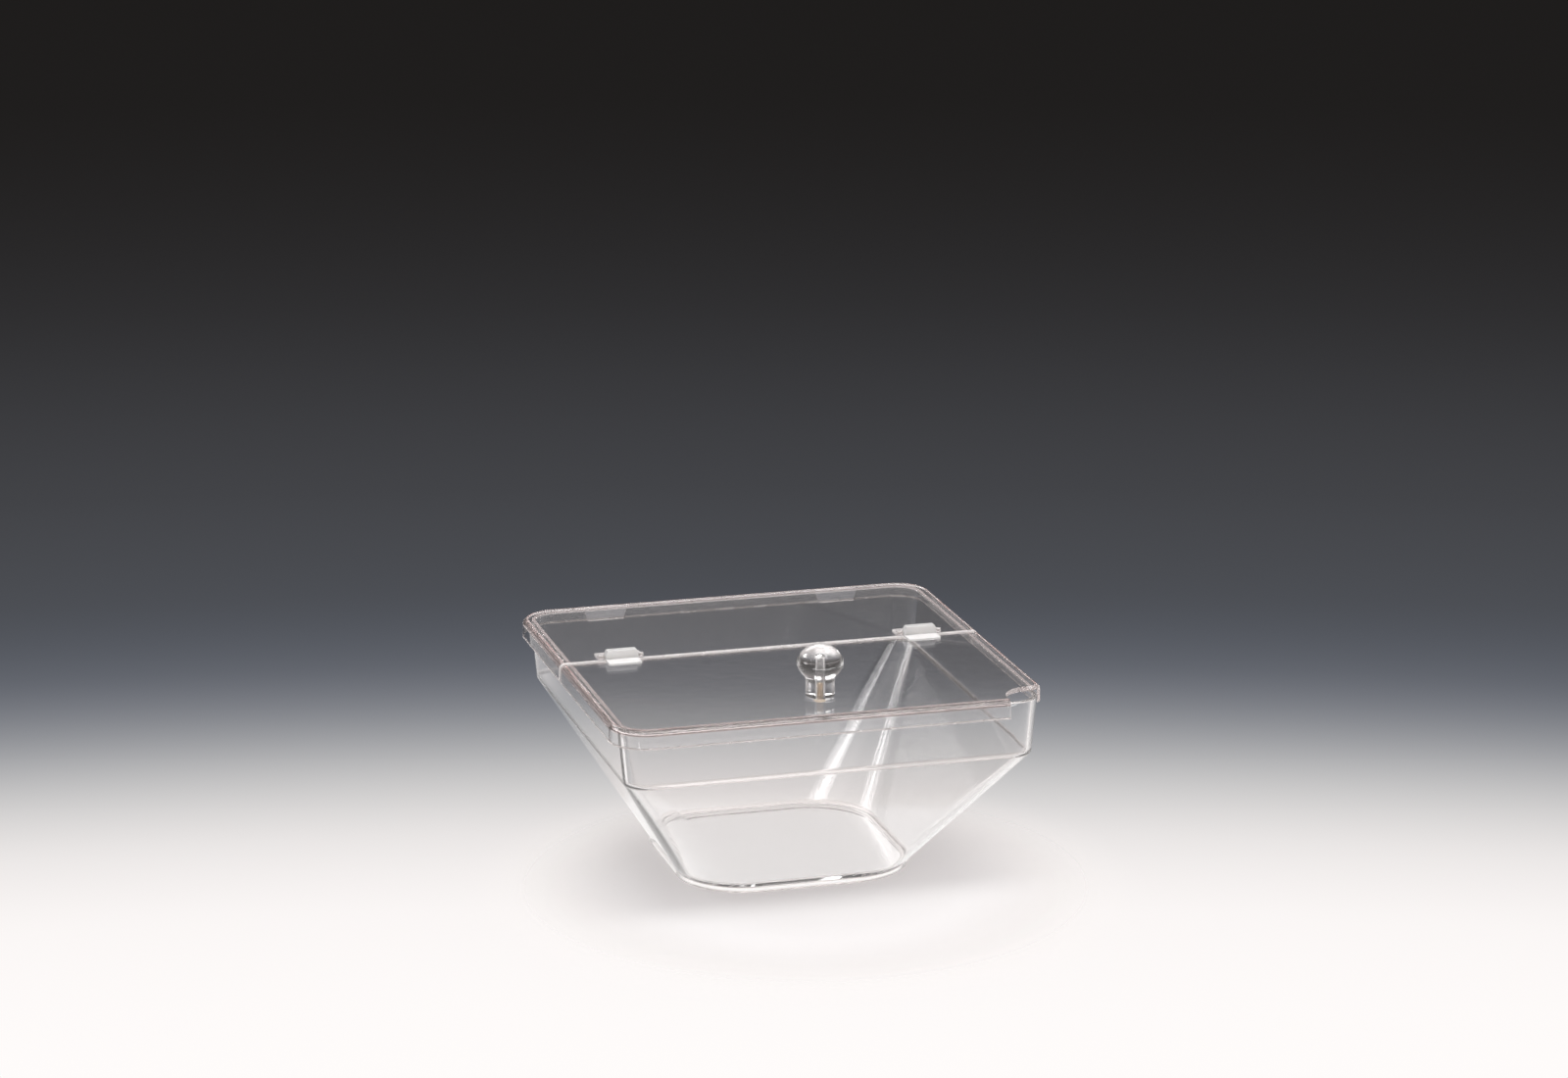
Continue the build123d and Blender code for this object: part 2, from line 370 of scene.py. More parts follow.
def chained(runs: Sequence[np.ndarray]) -> np.ndarray:
    """Joins runs end to end, each without the point that it shares with the one before."""
    return np.concatenate([runs[0], *(run[:, 1:] for run in runs[1:])], axis=1)


def xy(x: np.ndarray | float, y: np.ndarray | float, rows: int) -> np.ndarray:
    """Pairs of x and y, one for each row, from numbers or arrays."""
    return np.stack([np.broadcast_to(x, rows), np.broadcast_to(y, rows)], -1)


def with_height(plan: np.ndarray, height: np.ndarray | float) -> np.ndarray:
    """A plan grid of x and y with a height for each of its rows."""
    tall = np.broadcast_to(np.asarray(height, float).reshape(-1, 1), plan.shape[:2])
    return np.dstack([plan, tall])


def square_rings(rows: np.ndarray) -> np.ndarray:
    """Closed rings round a rounded square, one for each profile row.

    A ring is the path of a circle of the corner radius, whose centre goes round a square
    of half width less radius: four arcs, joined by four straight runs.

    Args:
        rows: Rows of half width, corner radius and height.

    Returns:
        A grid of points, rows by points round the ring.
    """
    half, radius, height = rows.T
    reach = (half - radius)[:, None]
    parts = []
    for start in np.arange(4) * pi / 2:
        middle, end = start + pi / 4, start + pi / 2
        side = np.sign([np.cos(middle), np.sin(middle)])
        bend = arc(reach * side, radius, start, end)
        corner = reach * np.array([-side[1], side[0]])
        following = corner + radius[:, None] * np.array([np.cos(end), np.sin(end)])
        parts += [bend, straight(bend[:, -1], following, SPAN[1:-1])]
    return with_height(np.concatenate(parts, axis=1), height)


def polar_fill(loop: np.ndarray, centre: tuple[float, float], hole: float = 0.0) -> np.ndarray:
    """A flat sheet from a closed loop in to a point, or to a round hole about it.

    Each point of the loop goes straight towards the centre: inner + share * (loop - inner),
    where inner is the centre, or the point of the hole's circle that faces the loop's point.

    Args:
        loop: The loop's points, all at one height.
        centre: x and y of the middle.
        hole: The hole's radius, or nothing.

    Returns:
        A grid of points, from the loop inwards.
    """
    out = loop[:, :2] - np.array(centre)
    inner = out / np.linalg.norm(out, axis=1, keepdims=True) * hole
    plan = np.array(centre) + inner + FILL[:, None, None] * (out - inner)
    return np.dstack([plan, np.broadcast_to(loop[None, :, 2], plan.shape[:2])])


def lathe(profile: np.ndarray, steps: int = 96) -> np.ndarray:
    """A profile turned about the upright axis: (r cos a, r sin a, z).

    Args:
        profile: Rows of radius and height.
        steps: How many parts a turn has.

    Returns:
        A grid of points, rows by steps, which closes on itself.
    """
    angle = np.linspace(0, 2 * pi, steps, endpoint=False)
    radius, height = profile[:, :1], profile[:, 1:]
    plan = np.dstack([radius * np.cos(angle), radius * np.sin(angle)])
    return with_height(plan, height)


class Surface:
    """Gathers grids of points, in millimetres, into one closed mesh."""

    def __init__(self) -> None:
        """Starts with nothing in it."""
        self.points: list[np.ndarray] = []
        self.quads: list[np.ndarray] = []
        self.slots: list[np.ndarray] = []
        self.count = 0

    def add(self, grid: np.ndarray, face: Face | np.ndarray = Face.MOULDED, closed: bool = False) -> None:
        """Adds a grid as quads that join (i, j), (i, j + 1), (i + 1, j + 1) and (i + 1, j).

        Args:
            grid: Points, rows by columns.
            face: How this face was made, which picks its material, or one for each strip.
            closed: Whether the last column joins the first.
        """
        rows, columns = grid.shape[:2]
        index = np.arange(rows * columns).reshape(rows, columns) + self.count
        if closed:
            index = np.hstack([index, index[:, :1]])
        corners = [index[:-1, :-1], index[:-1, 1:], index[1:, 1:], index[1:, :-1]]
        quads = np.stack(corners, -1).reshape(-1, 4)
        self.points.append(grid.reshape(-1, 3))
        self.quads.append(quads)
        strips = np.broadcast_to(np.asarray(face, int), rows - 1)
        self.slots.append(np.repeat(strips, len(quads) // (rows - 1)))
        self.count += rows * columns

    def piece(
        self, name: str, materials: Sequence[bpy.types.Material], sharp_angle: float = 33.0
    ) -> bpy.types.Object:
        """Makes the mesh, merges its seams and poles and turns its faces outwards.

        Args:
            name: The piece's name.
            materials: Its materials, in the order of Face.
            sharp_angle: Edges that turn more than this, in degrees, stay crisp.

        Returns:
            The new object, at the origin.
        """
        mesh = bpy.data.meshes.new(name)
        points = np.concatenate(self.points) * MM
        mesh.from_pydata(points.tolist(), [], np.concatenate(self.quads).tolist())
        for material in materials:
            mesh.materials.append(material)
        mesh.polygons.foreach_set("material_index", np.concatenate(self.slots))
        shape = bmesh.new()
        shape.from_mesh(mesh)
        bmesh.ops.remove_doubles(shape, verts=shape.verts, dist=MERGED_MM * MM)
        bmesh.ops.dissolve_degenerate(shape, edges=shape.edges, dist=SLIVER_MM * MM)
        bmesh.ops.recalc_face_normals(shape, faces=shape.faces)
        shape.to_mesh(mesh)
        shape.free()
        mesh.polygons.foreach_set("use_smooth", np.ones(len(mesh.polygons), bool))
        mesh.set_sharp_from_angle(angle=radians(sharp_angle))
        piece = bpy.data.objects.new(name, mesh)
        bpy.context.scene.collection.objects.link(piece)
        return piece


def soften(piece: bpy.types.Object, width_mm: float, steps: int = 2) -> None:
    """Rounds a piece's crisp edges a little, so that they catch the light.

    Args:
        piece: The piece.
        width_mm: How wide the rounding is.
        steps: How many parts it has.
    """
    bevel = piece.modifiers.new("softened_edges", "BEVEL")
    bevel.width = width_mm * MM
    bevel.segments = steps
    bevel.limit_method = "ANGLE"
    bevel.angle_limit = radians(CRISP_ANGLE)
    bevel.harden_normals = True
    bevel.use_clamp_overlap = True


@dataclass
class Bowl:
    """The bowl: a moulded shell with a foot, four sloping sides and a flared collar."""

    foot_half: float = 71.0
    foot_corner: float = 42.0
    foot_band: float = 3.5
    foot_rim: float = 3.2
    recess_height: float = 3.0
    floor_height: float = 6.0
    wall: float = 3.0
    collar_half: float = 122.5
    collar_corner: float = 14.0
    collar_height: float = 87.1
    rim_half: float = 125.5
    rim_corner: float = 17.0
    rim_height: float = 121.3
    recess_rounding: float = 0.5
    foot_rounding: float = 0.7
    foot_bend: float = 1.6
    collar_bend: float = 1.4
    rim_rounding: float = 0.6
    crease_fillet: float = 6.0
    floor_fillet: float = 3.0
    recess_share: float = 0.9
    floor_share: float = 0.8

    def profile(self) -> Profile:
        """The shell's profile, from its underside round the rim to its floor.

        Its two ends lie on flats, at the shares of their width where the middle sheets start.

        Returns:
            Its rows of half width, corner radius and height, and its faces.
        """
        rise = self.collar_height - self.foot_band
        side_run = (self.collar_half - self.foot_half) / rise
        corner_run = (self.foot_corner - self.collar_corner) / rise
        collar_run = (self.rim_half - self.collar_half) / (self.rim_height - self.collar_height)
        side_wall = self.wall * sqrt(1 + side_run**2)
        collar_wall = self.wall * sqrt(1 + collar_run**2)
        recess = np.array([self.foot_half, self.foot_corner]) - self.foot_rim
        floor_rise = self.floor_height - self.foot_band
        floor_corner = self.foot_corner - corner_run * floor_rise
        floor = np.array([self.foot_half + side_run * floor_rise, floor_corner]) - side_wall
        crease_height = self.collar_height + (side_wall - collar_wall) / (side_run - collar_run)
        crease_half = self.collar_half + collar_run * (crease_height - self.collar_height) - collar_wall
        rim = np.array([self.rim_half, self.rim_corner])
        corners = [
            (*(recess * self.recess_share), self.recess_height, 0.0),
            (*recess, self.recess_height, self.recess_rounding),
            (*recess, 0.0, self.recess_rounding),
            (self.foot_half, self.foot_corner, 0.0, self.foot_rounding),
            (self.foot_half, self.foot_corner, self.foot_band, self.foot_bend),
            (self.collar_half, self.collar_corner, self.collar_height, self.collar_bend),
            (*rim, self.rim_height, self.rim_rounding),
            (*(rim - collar_wall), self.rim_height, self.rim_rounding),
            (crease_half, self.collar_corner - collar_wall, crease_height, self.crease_fillet),
            (*floor, self.floor_height, self.floor_fillet),
            (*(floor * self.floor_share), self.floor_height, 0.0),
        ]
        return rounded_profile([(*corner, Face.BEND) for corner in corners])

    def build(self, moulded: bpy.types.Material, bend: bpy.types.Material) -> bpy.types.Object:
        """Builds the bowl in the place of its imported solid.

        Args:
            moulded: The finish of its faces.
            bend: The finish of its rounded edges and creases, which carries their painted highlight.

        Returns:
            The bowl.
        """
        profile = self.profile()
        rings = square_rings(profile.rows)
        shell = Surface()
        shell.add(rings, profile.faces, closed=True)
        shell.add(polar_fill(rings[0], (0.0, 0.0)), closed=True)
        shell.add(polar_fill(rings[-1], (0.0, 0.0)), closed=True)
        piece = shell.piece("bowl_shell", [moulded, bend])
        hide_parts("bowl")
        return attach(piece, "bowl")


@dataclass
class LidMoulding:
    """The sizes that both parts of the lid share, and the profile of their lip."""

    top_half: float = 130.5
    top_corner: float = 22.0
    edge_half: float = 131.0
    edge_corner: float = 22.5
    inner_edge_half: float = 128.4
    inner_edge_corner: float = 19.9
    inner_half: float = 128.034
    inner_corner: float = 19.534
    edge_height: float = 113.1
    under_height: float = 121.3
    top_height: float = 124.28
    bend: float = 3.4
    inner_bend: float = 0.8
    edge_rounding: float = 0.7
    plate_margin: float = 4.4
    saw_margin: float = 1.8
    softening: float = 0.16

    def profile(self) -> Profile:
        """The lip's profile, from the plate's top over the lip's edge to its underside.

        Its first half is the outer face and its second half the inner one, in pairs.

        Returns:
            Its rows of half width, corner radius and height, and its faces.
        """
        half, corner = self.edge_half - self.plate_margin, self.edge_corner - self.plate_margin
        low, edge = self.edge_height, self.edge_rounding
        return rounded_profile(
            [
                (half, corner, self.top_height, 0.0, Face.BEND),
                (self.top_half, self.top_corner, self.top_height, self.bend, Face.BEND),
                (self.edge_half, self.edge_corner, low, edge, Face.EDGE),
                (self.inner_edge_half, self.inner_edge_corner, low, edge, Face.EDGE),
                (self.inner_half, self.inner_corner, self.under_height, self.inner_bend, Face.BEND),
                (half, corner, self.under_height, 0.0, Face.BEND),
            ]
        )

    def run_shares(self, length: float, first: bool, last: bool) -> np.ndarray:
        """Places along a run, with one at the saw margin from each end that is a seam.

        Args:
            length: The run's length.
            first: Whether the run starts at the seam.
            last: Whether it ends there.

        Returns:
            The places, from 0 to 1.
        """
        shares = SPAN.copy()
        if first:
            shares[1] = self.saw_margin / length
        if last:
            shares[-2] = 1 - self.saw_margin / length
        return shares

    @staticmethod
    def end_cap(path: np.ndarray, column: int) -> np.ndarray:
        """The face where the lip is cut, between its outer rows and the inner rows facing them.

        Args:
            path: The lip's grid, profile rows by places along it.
            column: The place of the cut, 0 or -1.

        Returns:
            A grid of pairs.
        """
        half = len(path) // 2
        return np.stack([path[:half, column], path[::-1][:half, column]], axis=1)


@dataclass
class RearLid(LidMoulding):
    """The fixed rear part of the lid, with two pads that sit inside the bowl's rim."""

    seam: float = 12.8
    pad_spacing: float = 149.0
    pad_top: float = 29.0
    pad_bottom: float = 22.6
    pad_face: float = 126.0
    pad_foot: float = 113.4
    pad_overlap: float = 1.0
    pad_sharp_angle: float = 20.0
    fill_centre: tuple[float, float] = (0.0, 68.0)

    def lip(self) -> np.ndarray:
        """The lip's grid, from the seam on the left round the back to the seam on the right.

        Returns:
            Points, profile rows by places along the lip.
        """
        half, radius, height = self.profile().rows.T
        reach, rows = half - radius, len(half)
        length = self.edge_half - self.edge_corner - self.seam
        first, last = self.run_shares(length, True, False), self.run_shares(length, False, True)
        runs = [
            straight(xy(-half, self.seam, rows), xy(-half, reach, rows), first),
            arc(xy(-reach, reach, rows), radius, pi, pi / 2),
            straight(xy(-reach, half, rows), xy(reach, half, rows)),
            arc(xy(reach, reach, rows), radius, pi / 2, 0.0),
            straight(xy(half, reach, rows), xy(half, self.seam, rows), last),
        ]
        return with_height(chained(runs), height)

    def pad(self, middle: float) -> Surface:
        """One tapered pad, as a closed block that runs into the lip and the plate.

        Args:
            middle: x of the pad's middle.

        Returns:
            Its surface.
        """
        near, far = self.pad_face, self.inner_edge_half + self.pad_overlap
        ends = [
            (self.pad_bottom / 2, self.pad_foot, Face.EDGE),
            (self.pad_top / 2, self.under_height + self.pad_overlap, Face.MOULDED),
        ]
        rings = [
            [(middle - w, near, h), (middle + w, near, h), (middle + w, far, h), (middle - w, far, h)]
            for w, h, _ in ends
        ]
        block = Surface()
        block.add(np.array(rings), closed=True)
        for (a, b, c, d), (_, _, face) in zip(rings, ends):
            block.add(np.array([[a, b], [d, c]]), face)
        return block

    def build(self, finishes: Sequence[bpy.types.Material]) -> bpy.types.Object:
        """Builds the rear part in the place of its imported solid.

        Args:
            finishes: Its materials, in the order of Face.

        Returns:
            The rear part.
        """
        lip, shell, seams = self.lip(), Surface(), []
        shell.add(lip[:, 1:-1], self.profile().faces)
        for margin in (lip[:, :2], lip[:, -2:]):
            shell.add(margin, Face.EDGE)
        for column in (0, -1):
            shell.add(self.end_cap(lip, column), Face.SAWN)
        for row in (lip[0], lip[-1]):
            seam, margin = (straight(row[None, -1 - i], row[None, i])[0] for i in (0, 1))
            shell.add(np.stack([seam, margin]), Face.EDGE)
            shell.add(polar_fill(np.vstack([row[1:-1], margin[1:-1]]), self.fill_centre), closed=True)
            seams.append(seam)
        shell.add(np.stack(seams), Face.SAWN)
        piece = shell.piece("lid_rear_part", finishes)
        pads = []
        for side in (-1, 1):
            block = self.pad(side * self.pad_spacing / 2)
            pads.append(block.piece(f"pad_{side}", finishes, self.pad_sharp_angle))
        fuse(piece, pads)
        soften(piece, self.softening)
        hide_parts("rear_lid")
        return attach(piece, "lid")


@dataclass
class FrontFlap(LidMoulding):
    """The front part of the lid, with its spoon notch and the hole for the knob's screw."""

    seam: float = 12.0
    notch_radius: float = 17.3
    notch_x: float = 120.3
    notch_y: float = -123.3
    flare_radius: float = 13.95
    knob_y: float = -90.0
    hole_radius: float = 2.25

    def flare_y(self, x: np.ndarray) -> np.ndarray:
        """Where the notch's flare crosses a given x: centre y less sqrt(r^2 - dx^2)."""
        centre = self.notch_y + self.notch_radius + self.flare_radius
        return centre - np.sqrt(self.flare_radius**2 - (x - self.notch_x) ** 2)

    def long_lip(self) -> np.ndarray:
        """The lip's grid from the seam on the left, round the front corner, to the notch.

        Returns:
            Points, profile rows by places along the lip.
        """
        half, radius, height = self.profile().rows.T
        reach, rows = half - radius, len(half)
        length = self.edge_half - self.edge_corner + self.seam
        first = self.run_shares(length, True, False)
        runs = [
            straight(xy(-half, self.seam, rows), xy(-half, -reach, rows), first),
            arc(xy(-reach, -reach, rows), radius, pi, 3 * pi / 2),
            straight(xy(-reach, -half, rows), xy(self.notch_x - self.notch_radius, -half, rows)),
        ]
        return with_height(chained(runs), height)

    def short_lip(self) -> np.ndarray:
        """The lip's grid from the notch's flare on the right back to the seam.

        Returns:
            Points, profile rows by places along the lip.
        """
        half, _, height = self.profile().rows.T
        length = self.seam - float(self.flare_y(np.array([self.edge_half]))[0])
        start, end = xy(half, self.flare_y(half), len(half)), xy(half, self.seam, len(half))
        return with_height(straight(start, end, self.run_shares(length, False, True)), height)

    def notch_line(self, first: np.ndarray, last: np.ndarray) -> np.ndarray:
        """The notch's line in plan: a short straight, a quarter circle and the flare.

        Args:
            first: The point where the long lip ends.
            last: The point where the short lip starts.

        Returns:
            Points at the height of the first one.
        """
        middle = np.array([[self.notch_x, self.notch_y]])
        left = xy(self.notch_x - self.notch_radius, self.notch_y, 1)
        run = straight(first[None, :2], left, np.linspace(0, 1, 3))[0]
        bend = arc(middle, np.array([self.notch_radius]), pi, pi / 2)[0]
        x = np.linspace(self.notch_x, last[0], 9)
        flare = np.column_stack([x, self.flare_y(x)])
        plan = np.vstack([run, bend[1:], flare[1:]])
        return np.column_stack([plan, np.full(len(plan), first[2])])

    def build(self, finishes: Sequence[bpy.types.Material]) -> bpy.types.Object:
        """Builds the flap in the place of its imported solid.

        Args:
            finishes: Its materials, in the order of Face.

        Returns:
            The flap.
        """
        long_lip, short_lip = self.long_lip(), self.short_lip()
        shell = Surface()
        for lip, inside, margin, cut in (
            (long_lip, long_lip[:, 1:], long_lip[:, :2], 0),
            (short_lip, short_lip[:, :-1], short_lip[:, -2:], -1),
        ):
            shell.add(inside, self.profile().faces)
            shell.add(margin, Face.EDGE)
            shell.add(self.end_cap(lip, cut), Face.SAWN)
            shell.add(self.end_cap(lip, -1 - cut), Face.BEND)
        holes, notches, seams = [], [], []
        for row in (0, -1):
            left, right = long_lip[row], short_lip[row]
            notch = self.notch_line(left[-1], right[0])
            seam, margin = (straight(right[None, -1 - i], left[None, i])[0] for i in (0, 1))
            shell.add(np.stack([seam, margin]), Face.EDGE)
            loop = np.vstack([left[1:], notch[1:-1], right[:-1], margin[1:-1]])
            sheet = polar_fill(loop, (0.0, self.knob_y), self.hole_radius)
            shell.add(sheet, closed=True)
            holes.append(sheet[-1])
            notches.append(notch)
            seams.append(seam)
        shell.add(np.stack(holes), Face.SAWN, closed=True)
        shell.add(np.stack(notches), Face.BEND)
        shell.add(np.stack(seams), Face.SAWN)
        piece = shell.piece("lid_front_flap", finishes)
        soften(piece, self.softening)
        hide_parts("front_flap")
        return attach(piece, "flap")


def fuse(piece: bpy.types.Object, others: Sequence[bpy.types.Object]) -> None:
    """Joins closed blocks into a piece, so that no wall is left inside it.

    Args:
        piece: The piece that stays.
        others: The blocks, which are used up.
    """
    for other in others:
        join = piece.modifiers.new("join", "BOOLEAN")
        join.operation, join.solver, join.object = "UNION", "EXACT", other
    bpy.context.view_layer.update()
    joined = bpy.data.meshes.new_from_object(piece.evaluated_get(bpy.context.evaluated_depsgraph_get()))
    piece.modifiers.clear()
    piece.data = joined
    for other in others:
        bpy.data.objects.remove(other)


@dataclass
class Knob:
    """The knob: a flattened ball on a short neck, turned, polished and drilled from below."""

    y: float = -90.0
    foot: float = 124.32
    ball_radius: float = 13.7
    ball_half_height: float = 11.1
    side_radius: float = 6.8
    ball_height: float = 19.97
    neck_radius: float = 8.5
    blend: float = 5.0
    bore_radius: float = 2.1
    bore_depth: float = 21.7
    bore_tip: float = 1.2
    bore_margin: float = 1.0
    neck_margin: float = 0.4
    # The foot's softened edge, as steps inwards from the neck's side and heights.
    foot_edge: tuple[Pair, ...] = (
        (0.0, 4.0), (0.0, 0.7), (0.03, 0.45), (0.15, 0.2), (0.4, 0.04), (0.7, 0.0), (1.2, 0.0),
    )

    def profile(self) -> np.ndarray:
        """The knob's outer profile, from its top down to the edge of its foot.

        The crown and the underside are arcs of one radius about points on the axis, the
        side is an arc that touches both, and a blend touches the underside and the neck.

        Returns:
            Rows of radius and height above the foot.
        """
        offset = self.ball_radius - self.side_radius
        flattening = self.ball_half_height - self.side_radius
        crown = (offset**2 + self.ball_half_height**2 - self.side_radius**2) / (2 * flattening)
        drop = crown - self.ball_half_height
        join = atan2(drop, offset)
        blend_x = self.neck_radius + self.blend
        blend_z = drop - sqrt((crown + self.blend) ** 2 - blend_x**2)
        meet = atan2(blend_z - drop, blend_x)
        curves = [
            ((0.0, -drop), crown, pi / 2, join, 20),
            ((offset, 0.0), self.side_radius, join, -join, 24),
            ((0.0, drop), crown, -join, meet, 8),
            ((blend_x, blend_z), self.blend, meet + pi, pi, 12),
        ]
        runs = [arc(np.array([middle]), np.array([radius]), *turn) for middle, radius, *turn in curves]
        body = chained(runs)[0] + np.array([0.0, self.ball_height])
        foot = [(0.0, body[-1, 1] - self.neck_margin), *self.foot_edge]
        return np.vstack([body, np.array([self.neck_radius, 0.0]) + np.array(foot) * [-1.0, 1.0]])

    def build(self, polished: bpy.types.Material, drilled: bpy.types.Material) -> bpy.types.Object:
        """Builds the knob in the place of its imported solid.

        Args:
            polished: The finish of its turned faces.
            drilled: The finish of its bore.

        Returns:
            The knob.
        """
        place = np.array([0.0, self.y, self.foot])
        outside = self.profile()
        ring = self.bore_radius + self.bore_margin
        underside = np.array([outside[-1], [ring, 0.0], [self.bore_radius, 0.0]])
        walls = [(self.bore_radius, share * self.bore_depth) for share in (0.0, 0.5, 1.0)]
        bore = np.array([*walls, (0.0, self.bore_depth + self.bore_tip)])
        turned = Surface()
        turned.add(lathe(outside) + place, closed=True)
        turned.add(lathe(underside) + place, closed=True)
        turned.add(lathe(bore) + place, Face.SAWN, closed=True)
        piece = turned.piece("knob_ball", [polished, polished, drilled])
        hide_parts("knob")
        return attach(piece, "flap")


@dataclass
class Screw:
    """The screw that holds the knob: a pan head with a cross recess and a rolled thread."""

    y: float = -90.0
    seat: float = 121.3
    head_radius: float = 4.0
    head_height: float = 2.5
    crest_radius: float = 1.98
    core_radius: float = 1.55
    pitch: float = 0.7
    length: float = 11.98
    tip_chamfer: float = 0.5
    recess_reach: float = 2.1
    recess_half_width: float = 0.42
    recess_depth: float = 1.3
    recess_wall: float = 0.25
    recess_end: float = 0.4
    face_ring: float = 2.7
    steps: int = 96
    turn_steps: int = 8
    # The head's softened side, as steps inwards from its radius and heights above its face.
    head_side: tuple[Pair, ...] = ((0.8, 0.0), (0.5, 0.12), (0.2, 0.4), (0.03, 0.8), (0.0, 1.1))
    # The head's rounded seat, as steps inwards and heights above the seat.
    head_seat: tuple[Pair, ...] = ((0.0, -0.2), (0.06, -0.06), (0.2, 0.0))

    def face(self, angle: np.ndarray) -> np.ndarray:
        """The head's outer face with its cross recess.

        At a point the recess is as deep as depth * s((half width - min(|x|, |y|)) / wall + 0.5)
        * s((reach - radius) / end), with s clipped to 0..1.

        Args:
            angle: The angles of the columns.

        Returns:
            A grid of points from the middle of the face to its edge.
        """
        fine = np.linspace(0, self.recess_reach + self.recess_end / 2, 24)
        radius = np.array([*fine, self.face_ring, self.head_radius - self.head_side[0][0]])
        x, y = radius[:, None] * np.cos(angle), radius[:, None] * np.sin(angle)
        from_arm = self.recess_half_width - np.minimum(np.abs(x), np.abs(y))
        arm = np.clip(from_arm / self.recess_wall + 0.5, 0, 1)
        inside = np.clip((self.recess_reach - np.hypot(x, y)) / self.recess_end, 0, 1)
        return np.dstack([x, y, self.recess_depth * arm * inside - self.head_height])

    def thread(self, angle: np.ndarray) -> np.ndarray:
        """The shank's rolled thread.

        At height z and angle a the radius is core + (crest - core) * min(1, 1.2 |2 f - 1|),
        with f the fraction of z / pitch - a / 2 pi. It runs out at the head and the tip.

        Args:
            angle: The angles of the columns.

        Returns:
            A grid of points from the head to the middle of the tip.
        """
        rows = int(self.length / self.pitch * self.turn_steps)
        height = np.linspace(0, self.length, rows)[:, None]
        turn = (height / self.pitch - angle / (2 * pi)) % 1
        groove = 1 - np.minimum(1, 1.2 * np.abs(2 * turn - 1))
        run_out = np.clip(height / self.pitch, 0, 1)
        radius = self.crest_radius - (self.crest_radius - self.core_radius) * groove * run_out
        radius = np.minimum(radius, self.crest_radius - self.tip_chamfer + self.length - height)
        radius = np.vstack([radius, np.zeros((1, len(angle)))])
        height = np.vstack([height, [[self.length]]]) + np.zeros_like(radius)
        return np.dstack([radius * np.cos(angle), radius * np.sin(angle), height])

    def build(self, plated: bpy.types.Material) -> bpy.types.Object:
        """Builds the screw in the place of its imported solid.

        Args:
            plated: The finish of the screw.

        Returns:
            The screw.
        """
        place = np.array([0.0, self.y, self.seat])
        angle = np.linspace(0, 2 * pi, self.steps, endpoint=False)
        side = [(self.head_radius - step, height - self.head_height) for step, height in self.head_side]
        side += [(self.head_radius - step, height) for step, height in self.head_seat]
        side.append((self.crest_radius, 0.0))
        screw = Surface()
        screw.add(self.face(angle) + place, closed=True)
        screw.add(lathe(np.array(side), self.steps) + place, closed=True)
        screw.add(self.thread(angle) + place, closed=True)
        piece = screw.piece("knob_fixing_screw", [plated])
        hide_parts("knob_screw")
        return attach(piece, "flap")


@dataclass
class CementFilms:
    """The dried cement under the two front hinge leaves, as thin white films."""

    centre_x: float = 93.0
    centre_y: float = 5.4
    half_width: float = 9.6
    half_depth: float = 4.6
    low: float = 124.284
    high: float = 124.297
    squareness: float = 0.3

    def outline(self, middle: float) -> np.ndarray:
        """The film's outline: a rounded rectangle whose edge wanders a little.

        At angle a the point is (w * sign(cos a) * |cos a|^s, d * sign(sin a) * |sin a|^s), with
        s the squareness, and both are scaled by 1 + 0.02 sin(5 a) + 0.015 sin(11 a + 1).

        Args:
            middle: x of the film's middle.

        Returns:
            Points round the outline.
        """
        angle = np.linspace(0, 2 * pi, 96, endpoint=False)
        wander = 1 + 0.02 * np.sin(5 * angle) + 0.015 * np.sin(11 * angle + 1)
        way = np.column_stack([np.cos(angle), np.sin(angle)])
        reach = np.sign(way) * np.abs(way) ** self.squareness * wander[:, None]
        return np.array([middle, self.centre_y]) + reach * np.array([self.half_width, self.half_depth])

    def build(self, cement: bpy.types.Material) -> list[bpy.types.Object]:
        """Builds both films, which move with the flap.

        Args:
            cement: The finish of the films.

        Returns:
            The two films.
        """
        films = []
        for name, middle in (("left", -self.centre_x), ("right", self.centre_x)):
            rings = with_height(np.stack([self.outline(middle)] * 2), np.array([self.low, self.high]))
            film = Surface()
            film.add(rings, closed=True)
            for ring in rings:
                film.add(polar_fill(ring, (middle, self.centre_y)), closed=True)
            piece = film.piece(f"hinge_cement_{name}", [cement])
            films.append(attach(piece, "flap"))
        return films


@dataclass
class PackedParts:
    """The hinge parts and pins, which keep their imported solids."""

    softening: float = 0.14
    weld_mm: float = 0.002

    def dress(self, finishes: dict[str, bpy.types.Material]) -> None:
        """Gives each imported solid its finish, and softens its edges.

        Args:
            finishes: The material for each start of a node's name.
        """
        for name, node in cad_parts.items():
            for start, material in finishes.items():
                if name.startswith(start):
                    node.data.materials.clear()
                    node.data.materials.append(material)
                    weld = node.modifiers.new("weld", "WELD")
                    weld.merge_threshold = self.weld_mm * MM
                    soften(node, self.softening)
                    log.info("%s: packed solid, %s", name, material.name)


